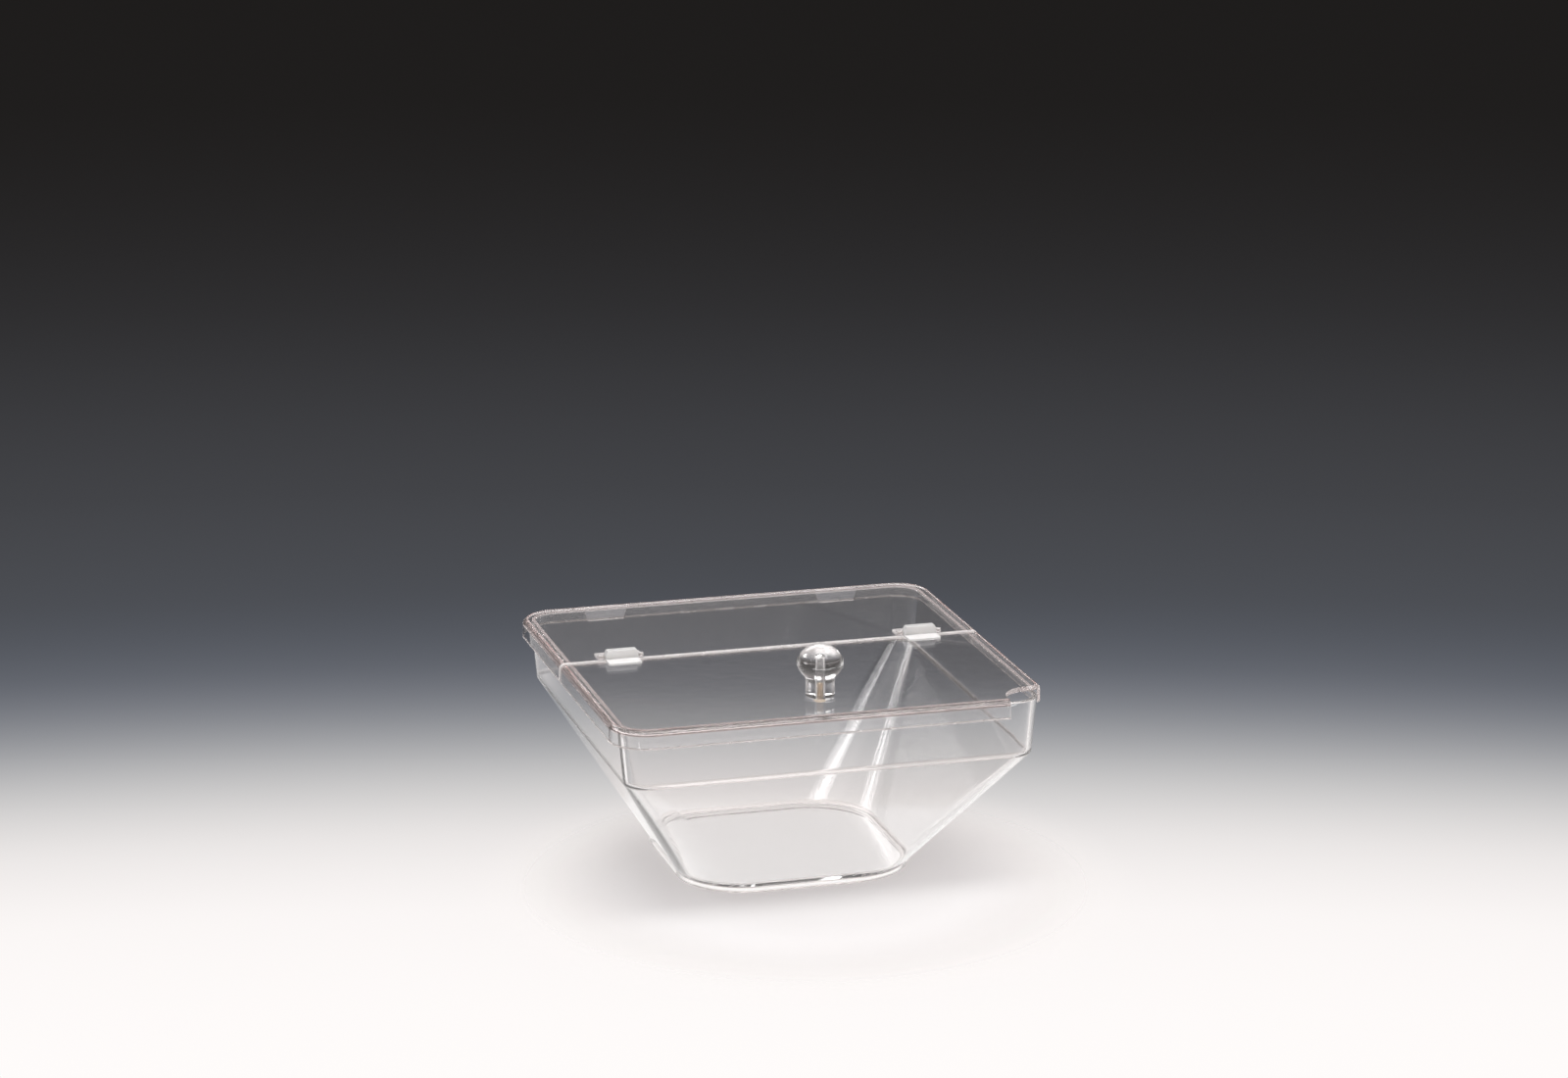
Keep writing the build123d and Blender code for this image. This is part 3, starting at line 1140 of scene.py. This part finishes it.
@dataclass(frozen=True)
class Lamp:
    """A soft rectangular lamp: its place, size, power in watts and the point that it faces.

    Mirrored lamps show in the plastic's reflections. Lighting ones light matt surfaces, and
    show through the plastic too where they are mirrored.
    """

    name: str
    place: Point
    size: Pair
    power: float
    aim: Point = (0.0, 0.0, 80.0)
    mirrored: bool = False
    lighting: bool = True

    def build(self) -> bpy.types.Object:
        """Hangs the lamp.

        Returns:
            The lamp.
        """
        data = bpy.data.lights.new(self.name, "AREA")
        data.shape = "RECTANGLE"
        data.size, data.size_y = self.size[0] * MM, self.size[1] * MM
        data.energy = self.power
        lamp = bpy.data.objects.new(self.name, data)
        lamp.location = np.array(self.place) * MM
        x, y, z = np.array(self.aim) - np.array(self.place)
        lamp.rotation_euler = (pi / 2 + atan2(z, float(np.hypot(x, y))), 0.0, atan2(y, x) - pi / 2)
        lamp.visible_glossy = self.mirrored
        lamp.visible_transmission = self.mirrored and self.lighting
        lamp.visible_diffuse = self.lighting
        bpy.context.scene.collection.objects.link(lamp)
        return lamp


@dataclass
class Studio:
    """The floor, the graded backdrop, the lamps and the camera.

    Clear plastic shows what stands round it, so the floor and the backdrop are graded for
    the rays that it bends and mirrors. A pair is where a change starts and where it ends.
    """

    # The level way that the camera looks.
    ahead: Point = (0.276, 0.961, 0.0)
    floor_radius: float = 700.0
    floor_height: float = -0.02
    floor_middle: Point = (0.0, -60.0, 0.0)
    # Distances from the floor's middle over which its white greys as a painted soft shadow round the foot, it
    # turns clear to the camera, and it turns clear to bent and mirrored rays.
    painted_shadow: Pair = (95.0, 160.0)
    fade: Pair = (90.0, 215.0)
    rim: Pair = (360.0, 560.0)
    # Depths behind the middle over which it turns clear to those rays, and its colours there.
    melt: Pair = (320.0, 440.0)
    grades: Stops = (
        (0.0, "FFFDFC"), (128.0, "FCF9F8"), (150.0, "EAE6E4"), (175.0, "DDD9D8"), (217.0, "CCCACA"),
        (310.0, "A3A5A8"), (390.0, "777A81"), (460.0, "585B63"), (560.0, "4B4D52"), (700.0, "46474B"),
    )
    # Colours of the backdrop by the upright part of a direction: behind the object, round its
    # sides and front, and what is added above. The first two run from the lowest to their tops.
    lowest: float = -0.40
    behind_top: float = 0.0
    behind: Stops = (
        (-0.375, "FFFCFB"), (-0.340, "FDF9F8"), (-0.324, "ECE8E7"), (-0.312, "CAC9C9"),
        (-0.300, "8B8D93"), (-0.288, "5C6069"), (-0.272, "4A4C51"), (-0.250, "45464A"),
        (-0.210, "2C2B2C"), (-0.165, "1D1B1A"), (-0.010, "1B1A19"),
    )
    around_top: float = 0.30
    around: Stops = (
        (-0.375, "FFFCFB"), (-0.270, "F8F5F4"), (-0.160, "ECE9E8"), (-0.050, "D9D6D5"),
        (0.040, "A9A7A6"), (0.130, "585757"), (0.220, "201F1F"),
    )
    above: Stops = (
        (0.10, "000000"), (0.20, "1C1B1B"), (0.27, "333232"), (0.40, "5A5554"), (0.60, "6E6867"),
        (0.82, "7C7674"), (0.92, "F8F2EF"),
    )
    # How far a direction points ahead, from 0 to 1, where the sides give way to what is behind.
    turning: Pair = (0.35, 0.75)
    # Soft lights that show as streaks in the plastic and not to the camera: the way to each,
    # the angles from it where it is full and where it ends, and its strength.
    glows: tuple[tuple[Point, float, float, float], ...] = (
        ((-0.62, 0.58, 0.53), 2.0, 10.0, 9.0),
        ((-0.230, -0.431, 0.872), 1.0, 8.0, 8.0),
        ((-0.16, 0.785, 0.60), 4.0, 17.0, 3.0),
        ((0.16, 0.785, 0.60), 4.0, 17.0, 3.0),
    )
    # The even light that matt surfaces take.
    fill: str = "F4F4F6"
    fill_strength: float = 0.45
    lamps: tuple[Lamp, ...] = (
        Lamp("overhead_softbox", (-60, -480, 1200), (1100, 360), 4.5, (0, 0, 0), mirrored=True),
        Lamp("overhead_fill", (-60, -480, 1210), (1100, 360), 3.2, (0, 0, 0)),
        Lamp(
            "front_reflector", (50, -445, 2), (940, 200), 3.2, (50, -435, 1000), mirrored=True, lighting=False
        ),
        Lamp("rear_softbox", (0, 1150, 860), (900, 500), 7.0),
        Lamp("left_softbox", (-850, 800, 740), (350, 350), 4.0),
        Lamp("right_softbox", (1300, -200, 700), (500, 700), 4.0),
    )
    camera_place: Point = (-703.2, -2461.8, 887.9)
    camera_dip: float = 15.15
    camera_turn: float = -16.03
    lens: float = 102.59
    # Light that is trapped in the plastic is followed for so many bounces, or its bends turn
    # black, and shadows pass through so many clear layers.
    bounces: int = 64
    clear_layers: int = 32

    def floor(self) -> bpy.types.Object:
        """A pale round floor that melts into the backdrop.

        The camera sees a matt white sheet, greyed round the foot by a painted soft shadow, that turns clear
        away from the object. Rays from the plastic see it as a plain light, graded by its depth behind the
        middle, which is the dot product of a point's offset from the middle and the way ahead.

        Returns:
            The floor.
        """
        radii = np.array([0.0, 60.0, 120.0, 180.0, 240.0, 300.0, 500.0, self.floor_radius])
        sheet = Surface()
        profile = np.column_stack([radii, np.full(len(radii), self.floor_height)])
        sheet.add(lathe(profile, 64), closed=True)
        # Painted matt white, greyed round the foot as a painted soft shadow: it also takes real soft shadows
        # and mirrors nothing.
        material, tree = new_material("matt_white_table")
        place = add_node(tree, "ShaderNodeTexCoord").outputs["Object"]
        points = {0: place, 1: tuple(value * MM for value in self.floor_middle)}
        far = add_node(tree, "ShaderNodeVectorMath", points, operation="DISTANCE")
        offset = add_node(tree, "ShaderNodeVectorMath", points, operation="SUBTRACT")
        dot = {0: offset, 1: self.ahead}
        depth = add_node(tree, "ShaderNodeVectorMath", dot, operation="DOT_PRODUCT")
        changes = []
        for measure, (start, end), curve in (
            (far, self.fade, "SMOOTHERSTEP"),
            (far, self.painted_shadow, "SMOOTHSTEP"),
            (far, self.rim, "SMOOTHSTEP"),
            (depth, self.melt, "SMOOTHSTEP"),
        ):
            reach = {"Value": measure, "From Min": start * MM, "From Max": end * MM}
            changes.append(add_node(tree, "ShaderNodeMapRange", reach, interpolation_type=curve))
        fade, painted_shadow, rim, melt = changes
        # Painted soft shadow: the white greys from F8F5F4 to E8E4E2 away from the floor's middle.
        whites = {0: painted_shadow, 6: linear("F8F5F4"), 7: linear("E8E4E2")}
        colour = add_node(tree, "ShaderNodeMix", whites, data_type="RGBA")
        matt = add_node(tree, "ShaderNodeBsdfDiffuse", {"Color": colour, "Roughness": 0.5})
        clear = add_node(tree, "ShaderNodeBsdfTransparent")
        seen = add_node(tree, "ShaderNodeMixShader", {0: fade, 1: matt, 2: clear})
        reach = {"Value": depth, "From Max": self.floor_radius * MM}
        graded = add_node(tree, "ShaderNodeValToRGB", {0: add_node(tree, "ShaderNodeMapRange", reach)})
        set_ramp(graded, self.grades, high=self.floor_radius)
        light = add_node(tree, "ShaderNodeEmission", {"Color": graded, "Strength": 1.0})
        gone = add_node(tree, "ShaderNodeMath", {0: melt, 1: rim}, operation="MAXIMUM")
        melted = add_node(tree, "ShaderNodeMixShader", {0: gone, 1: light, 2: clear})
        rays = add_node(tree, "ShaderNodeLightPath").outputs
        kinds = {0: rays["Is Transmission Ray"], 1: rays["Is Glossy Ray"]}
        indirect = add_node(tree, "ShaderNodeMath", kinds, operation="MAXIMUM")
        mixed = add_node(tree, "ShaderNodeMixShader", {0: indirect, 1: seen, 2: melted})
        add_node(tree, "ShaderNodeOutputMaterial", {"Surface": mixed})
        floor = sheet.piece("floor", [material])
        normals = np.zeros(len(floor.data.polygons) * 3)
        floor.data.polygons.foreach_get("normal", normals)
        if normals[2::3].mean() < 0:
            floor.data.flip_normals()
        return floor

    def backdrop(self) -> None:
        """The world: a backdrop that runs from white below to near black above.

        It is darkest behind the object as the camera looks, and stays pale for longer
        towards the sides and the front, as a tent of white cloth would. Glows add streaks
        to the plastic, and matt surfaces take an even pale light instead of all this.
        """
        world = bpy.data.worlds.new("graded_backdrop")
        world.use_nodes = True
        tree = world.node_tree
        tree.nodes.clear()
        direction = add_node(tree, "ShaderNodeTexCoord").outputs["Generated"]
        upright = add_node(tree, "ShaderNodeSeparateXYZ", {0: direction}).outputs["Z"]
        ramps = []
        for stops, top, blend in (
            (self.behind, self.behind_top, "B_SPLINE"),
            (self.around, self.around_top, "LINEAR"),
        ):
            reach = {"Value": upright, "From Min": self.lowest, "From Max": top}
            share = add_node(tree, "ShaderNodeMapRange", reach)
            ramps.append(add_node(tree, "ShaderNodeValToRGB", {0: share}))
            set_ramp(ramps[-1], stops, self.lowest, top, blend)
        above = add_node(tree, "ShaderNodeValToRGB", {0: upright})
        set_ramp(above, self.above, blend="EASE")
        dot = {0: direction, 1: self.ahead}
        reach = {
            "Value": add_node(tree, "ShaderNodeVectorMath", dot, operation="DOT_PRODUCT"),
            "From Min": self.turning[0],
            "From Max": self.turning[1],
            "To Min": 1.0,
            "To Max": 0.0,
        }
        aside = add_node(tree, "ShaderNodeMapRange", reach, interpolation_type="SMOOTHSTEP")
        walls = add_node(tree, "ShaderNodeMix", {0: aside, 6: ramps[0], 7: ramps[1]}, data_type="RGBA")
        adding = {"data_type": "RGBA", "blend_type": "ADD"}
        light = add_node(tree, "ShaderNodeMix", {0: 1.0, 6: walls, 7: above}, **adding)
        rays = add_node(tree, "ShaderNodeLightPath").outputs
        unseen = add_node(tree, "ShaderNodeMath", {0: 1.0, 1: rays["Is Camera Ray"]}, operation="SUBTRACT")
        for way, inner, outer, strength in self.glows:
            near = add_node(tree, "ShaderNodeVectorMath", {0: direction, 1: way}, operation="DOT_PRODUCT")
            reach = {
                "Value": near,
                "From Min": cos(radians(outer)),
                "From Max": cos(radians(inner)),
                "To Max": strength,
            }
            soft = add_node(tree, "ShaderNodeMapRange", reach, interpolation_type="SMOOTHSTEP")
            glow = add_node(tree, "ShaderNodeMath", {0: soft, 1: unseen}, operation="MULTIPLY")
            light = add_node(tree, "ShaderNodeMix", {0: 1.0, 6: light, 7: glow}, **adding)
        seen = add_node(tree, "ShaderNodeBackground", {"Color": light, "Strength": 1.0})
        fill = {"Color": linear(self.fill), "Strength": self.fill_strength}
        shaders = {0: rays["Is Diffuse Ray"], 1: seen, 2: add_node(tree, "ShaderNodeBackground", fill)}
        mixed = add_node(tree, "ShaderNodeMixShader", shaders)
        output = add_node(tree, "ShaderNodeOutputWorld", {"Surface": mixed})
        output.is_active_output = True
        bpy.context.scene.world = world

    def camera(self) -> bpy.types.Object:
        """The camera, at the place and angle that fit the photograph.

        Returns:
            The camera.
        """
        data = bpy.data.cameras.new("camera")
        data.sensor_width = 36.0
        data.lens = self.lens
        data.clip_end = 50.0
        camera = bpy.data.objects.new("camera", data)
        camera.location = np.array(self.camera_place) * MM
        camera.rotation_euler = (radians(90 - self.camera_dip), 0.0, radians(self.camera_turn))
        bpy.context.scene.collection.objects.link(camera)
        bpy.context.scene.camera = camera
        return camera

    def build(self) -> None:
        """Builds the whole studio."""
        self.floor()
        self.backdrop()
        for lamp in self.lamps:
            lamp.build()
        self.camera()
        settings = bpy.context.scene
        settings.view_settings.view_transform = "Standard"
        settings.cycles.caustics_refractive = False
        settings.cycles.caustics_reflective = False
        settings.cycles.max_bounces = self.bounces
        settings.cycles.transmission_bounces = self.bounces
        settings.cycles.glossy_bounces = self.bounces
        settings.cycles.transparent_max_bounces = self.clear_layers


def report(piece: bpy.types.Object) -> None:
    """Logs a finished piece's name and number of faces."""
    log.info("%s: %d faces", piece.name, len(piece.data.polygons))


def make_finishes() -> dict[str, bpy.types.Material]:
    """Makes every finish, each named for its material and its face; the bend, crease and edge finishes are
    whiter, hazier copies that hold painted highlights.

    The values after a plastic's name are its tint, roughness, spread and clearness.

    Returns:
        The materials by name.
    """
    finishes = [
        # From a polished mould: glossy, with a slow ripple that bends the lines behind it.
        ClearPlastic("moulded_clear_acrylic", clearness=0.978),
        # Where the mould turns: a warmer, hazier copy of the plastic, a painted warm highlight for the light
        # that goes far inside and comes out a little warm and hazy.
        ClearPlastic("moulded_acrylic_bend", "F4E8E6", 0.01, 0.04, 0.94),
        # Edges and creases of the bowl: a whiter, hazier copy of the plastic, a painted highlight that draws
        # them as soft pale lines.
        ClearPlastic("acrylic_crease_painted_highlight", "FBF5F3", 0.05, 0.1, 0.8),
        # The flat plate: the clearest, with short waves that break up what it mirrors.
        ClearPlastic("moulded_acrylic_lid", clearness=0.99, marks=Relief(9.0, 0.006, 1.5)),
        # Sawn: the blade's marks scatter the light, so the cut looks frosted.
        ClearPlastic("sawn_clear_acrylic", "FEFDFD", 0.35, 0.12, 0.3, marks=ToolMarks(0.6, 0.02)),
        # Scuffed in use: thin edges catch the light as bright, slightly broken lines.
        # Thin edges and the ends by the seam: a whiter, hazier copy of the plastic, a painted highlight that
        # draws them as bright lines, which fine marks break up a little.
        ClearPlastic("acrylic_edge_painted_highlight", "FCF4F2", 0.2, 0.2, 0.55, marks=ToolMarks(0.9, 0.01)),
        # Solvent cement that dried white: dull and opaque, as a film under a clear leaf.
        ClearPlastic("dried_white_cement", "FFFEFE", 0.4, 0.2, 0.0, marks=ToolMarks(1.5, 0.02)),
        # Turned and flame polished: no ripple, so the ball is a clean lens.
        ClearPlastic("polished_clear_acrylic", roughness=0.004, spread=0.01, ripple=Relief(34.0, 0.0)),
        # Drilled: fine marks dull the bore, which shows grey and grainy through the neck.
        ClearPlastic("drilled_clear_acrylic", "FEFDFD", 0.14, 0.12, 0.93, marks=ToolMarks(0.5, 0.02)),
        # Machined from sheet: a light haze, so small parts stay readable against the plate.
        ClearPlastic("machined_clear_acrylic", "FEFAF9", 0.05, 0.1, 0.75),
        # Whitened by solvent: milky where the cement has crept into it.
        ClearPlastic("solvent_whitened_acrylic", "FFFEFD", 0.08, 0.12, 0.62),
        # Drawn wire: plain grey steel with a soft shine.
        TurnedSteel("drawn_steel_wire"),
        # Nickel plate: brighter and warmer than the bare wire.
        TurnedSteel("nickel_plated_steel", "DCCDB8", 0.16),
    ]
    return {finish.name: finish.material() for finish in finishes}


def main() -> None:
    """Builds the pieces and the studio in order."""
    logging.basicConfig(level=logging.INFO, format="%(name)s: %(message)s")
    made = make_finishes()
    faces = ("moulded_acrylic_lid", "moulded_acrylic_bend", "sawn_clear_acrylic", "acrylic_edge_painted_highlight")
    lid = [made[name] for name in faces]
    hinges = {
        "hinge_rear": made["machined_clear_acrylic"],
        "hinge_front": made["solvent_whitened_acrylic"],
        "hinge_pin": made["drawn_steel_wire"],
    }
    report(Bowl().build(made["moulded_clear_acrylic"], made["acrylic_crease_painted_highlight"]))
    report(RearLid().build(lid))
    report(FrontFlap().build(lid))
    for film in CementFilms().build(made["dried_white_cement"]):
        report(film)
    report(Knob().build(made["polished_clear_acrylic"], made["drilled_clear_acrylic"]))
    report(Screw().build(made["nickel_plated_steel"]))
    PackedParts().dress(hinges)
    Studio().build()


if __name__ == "__main__":
    main()
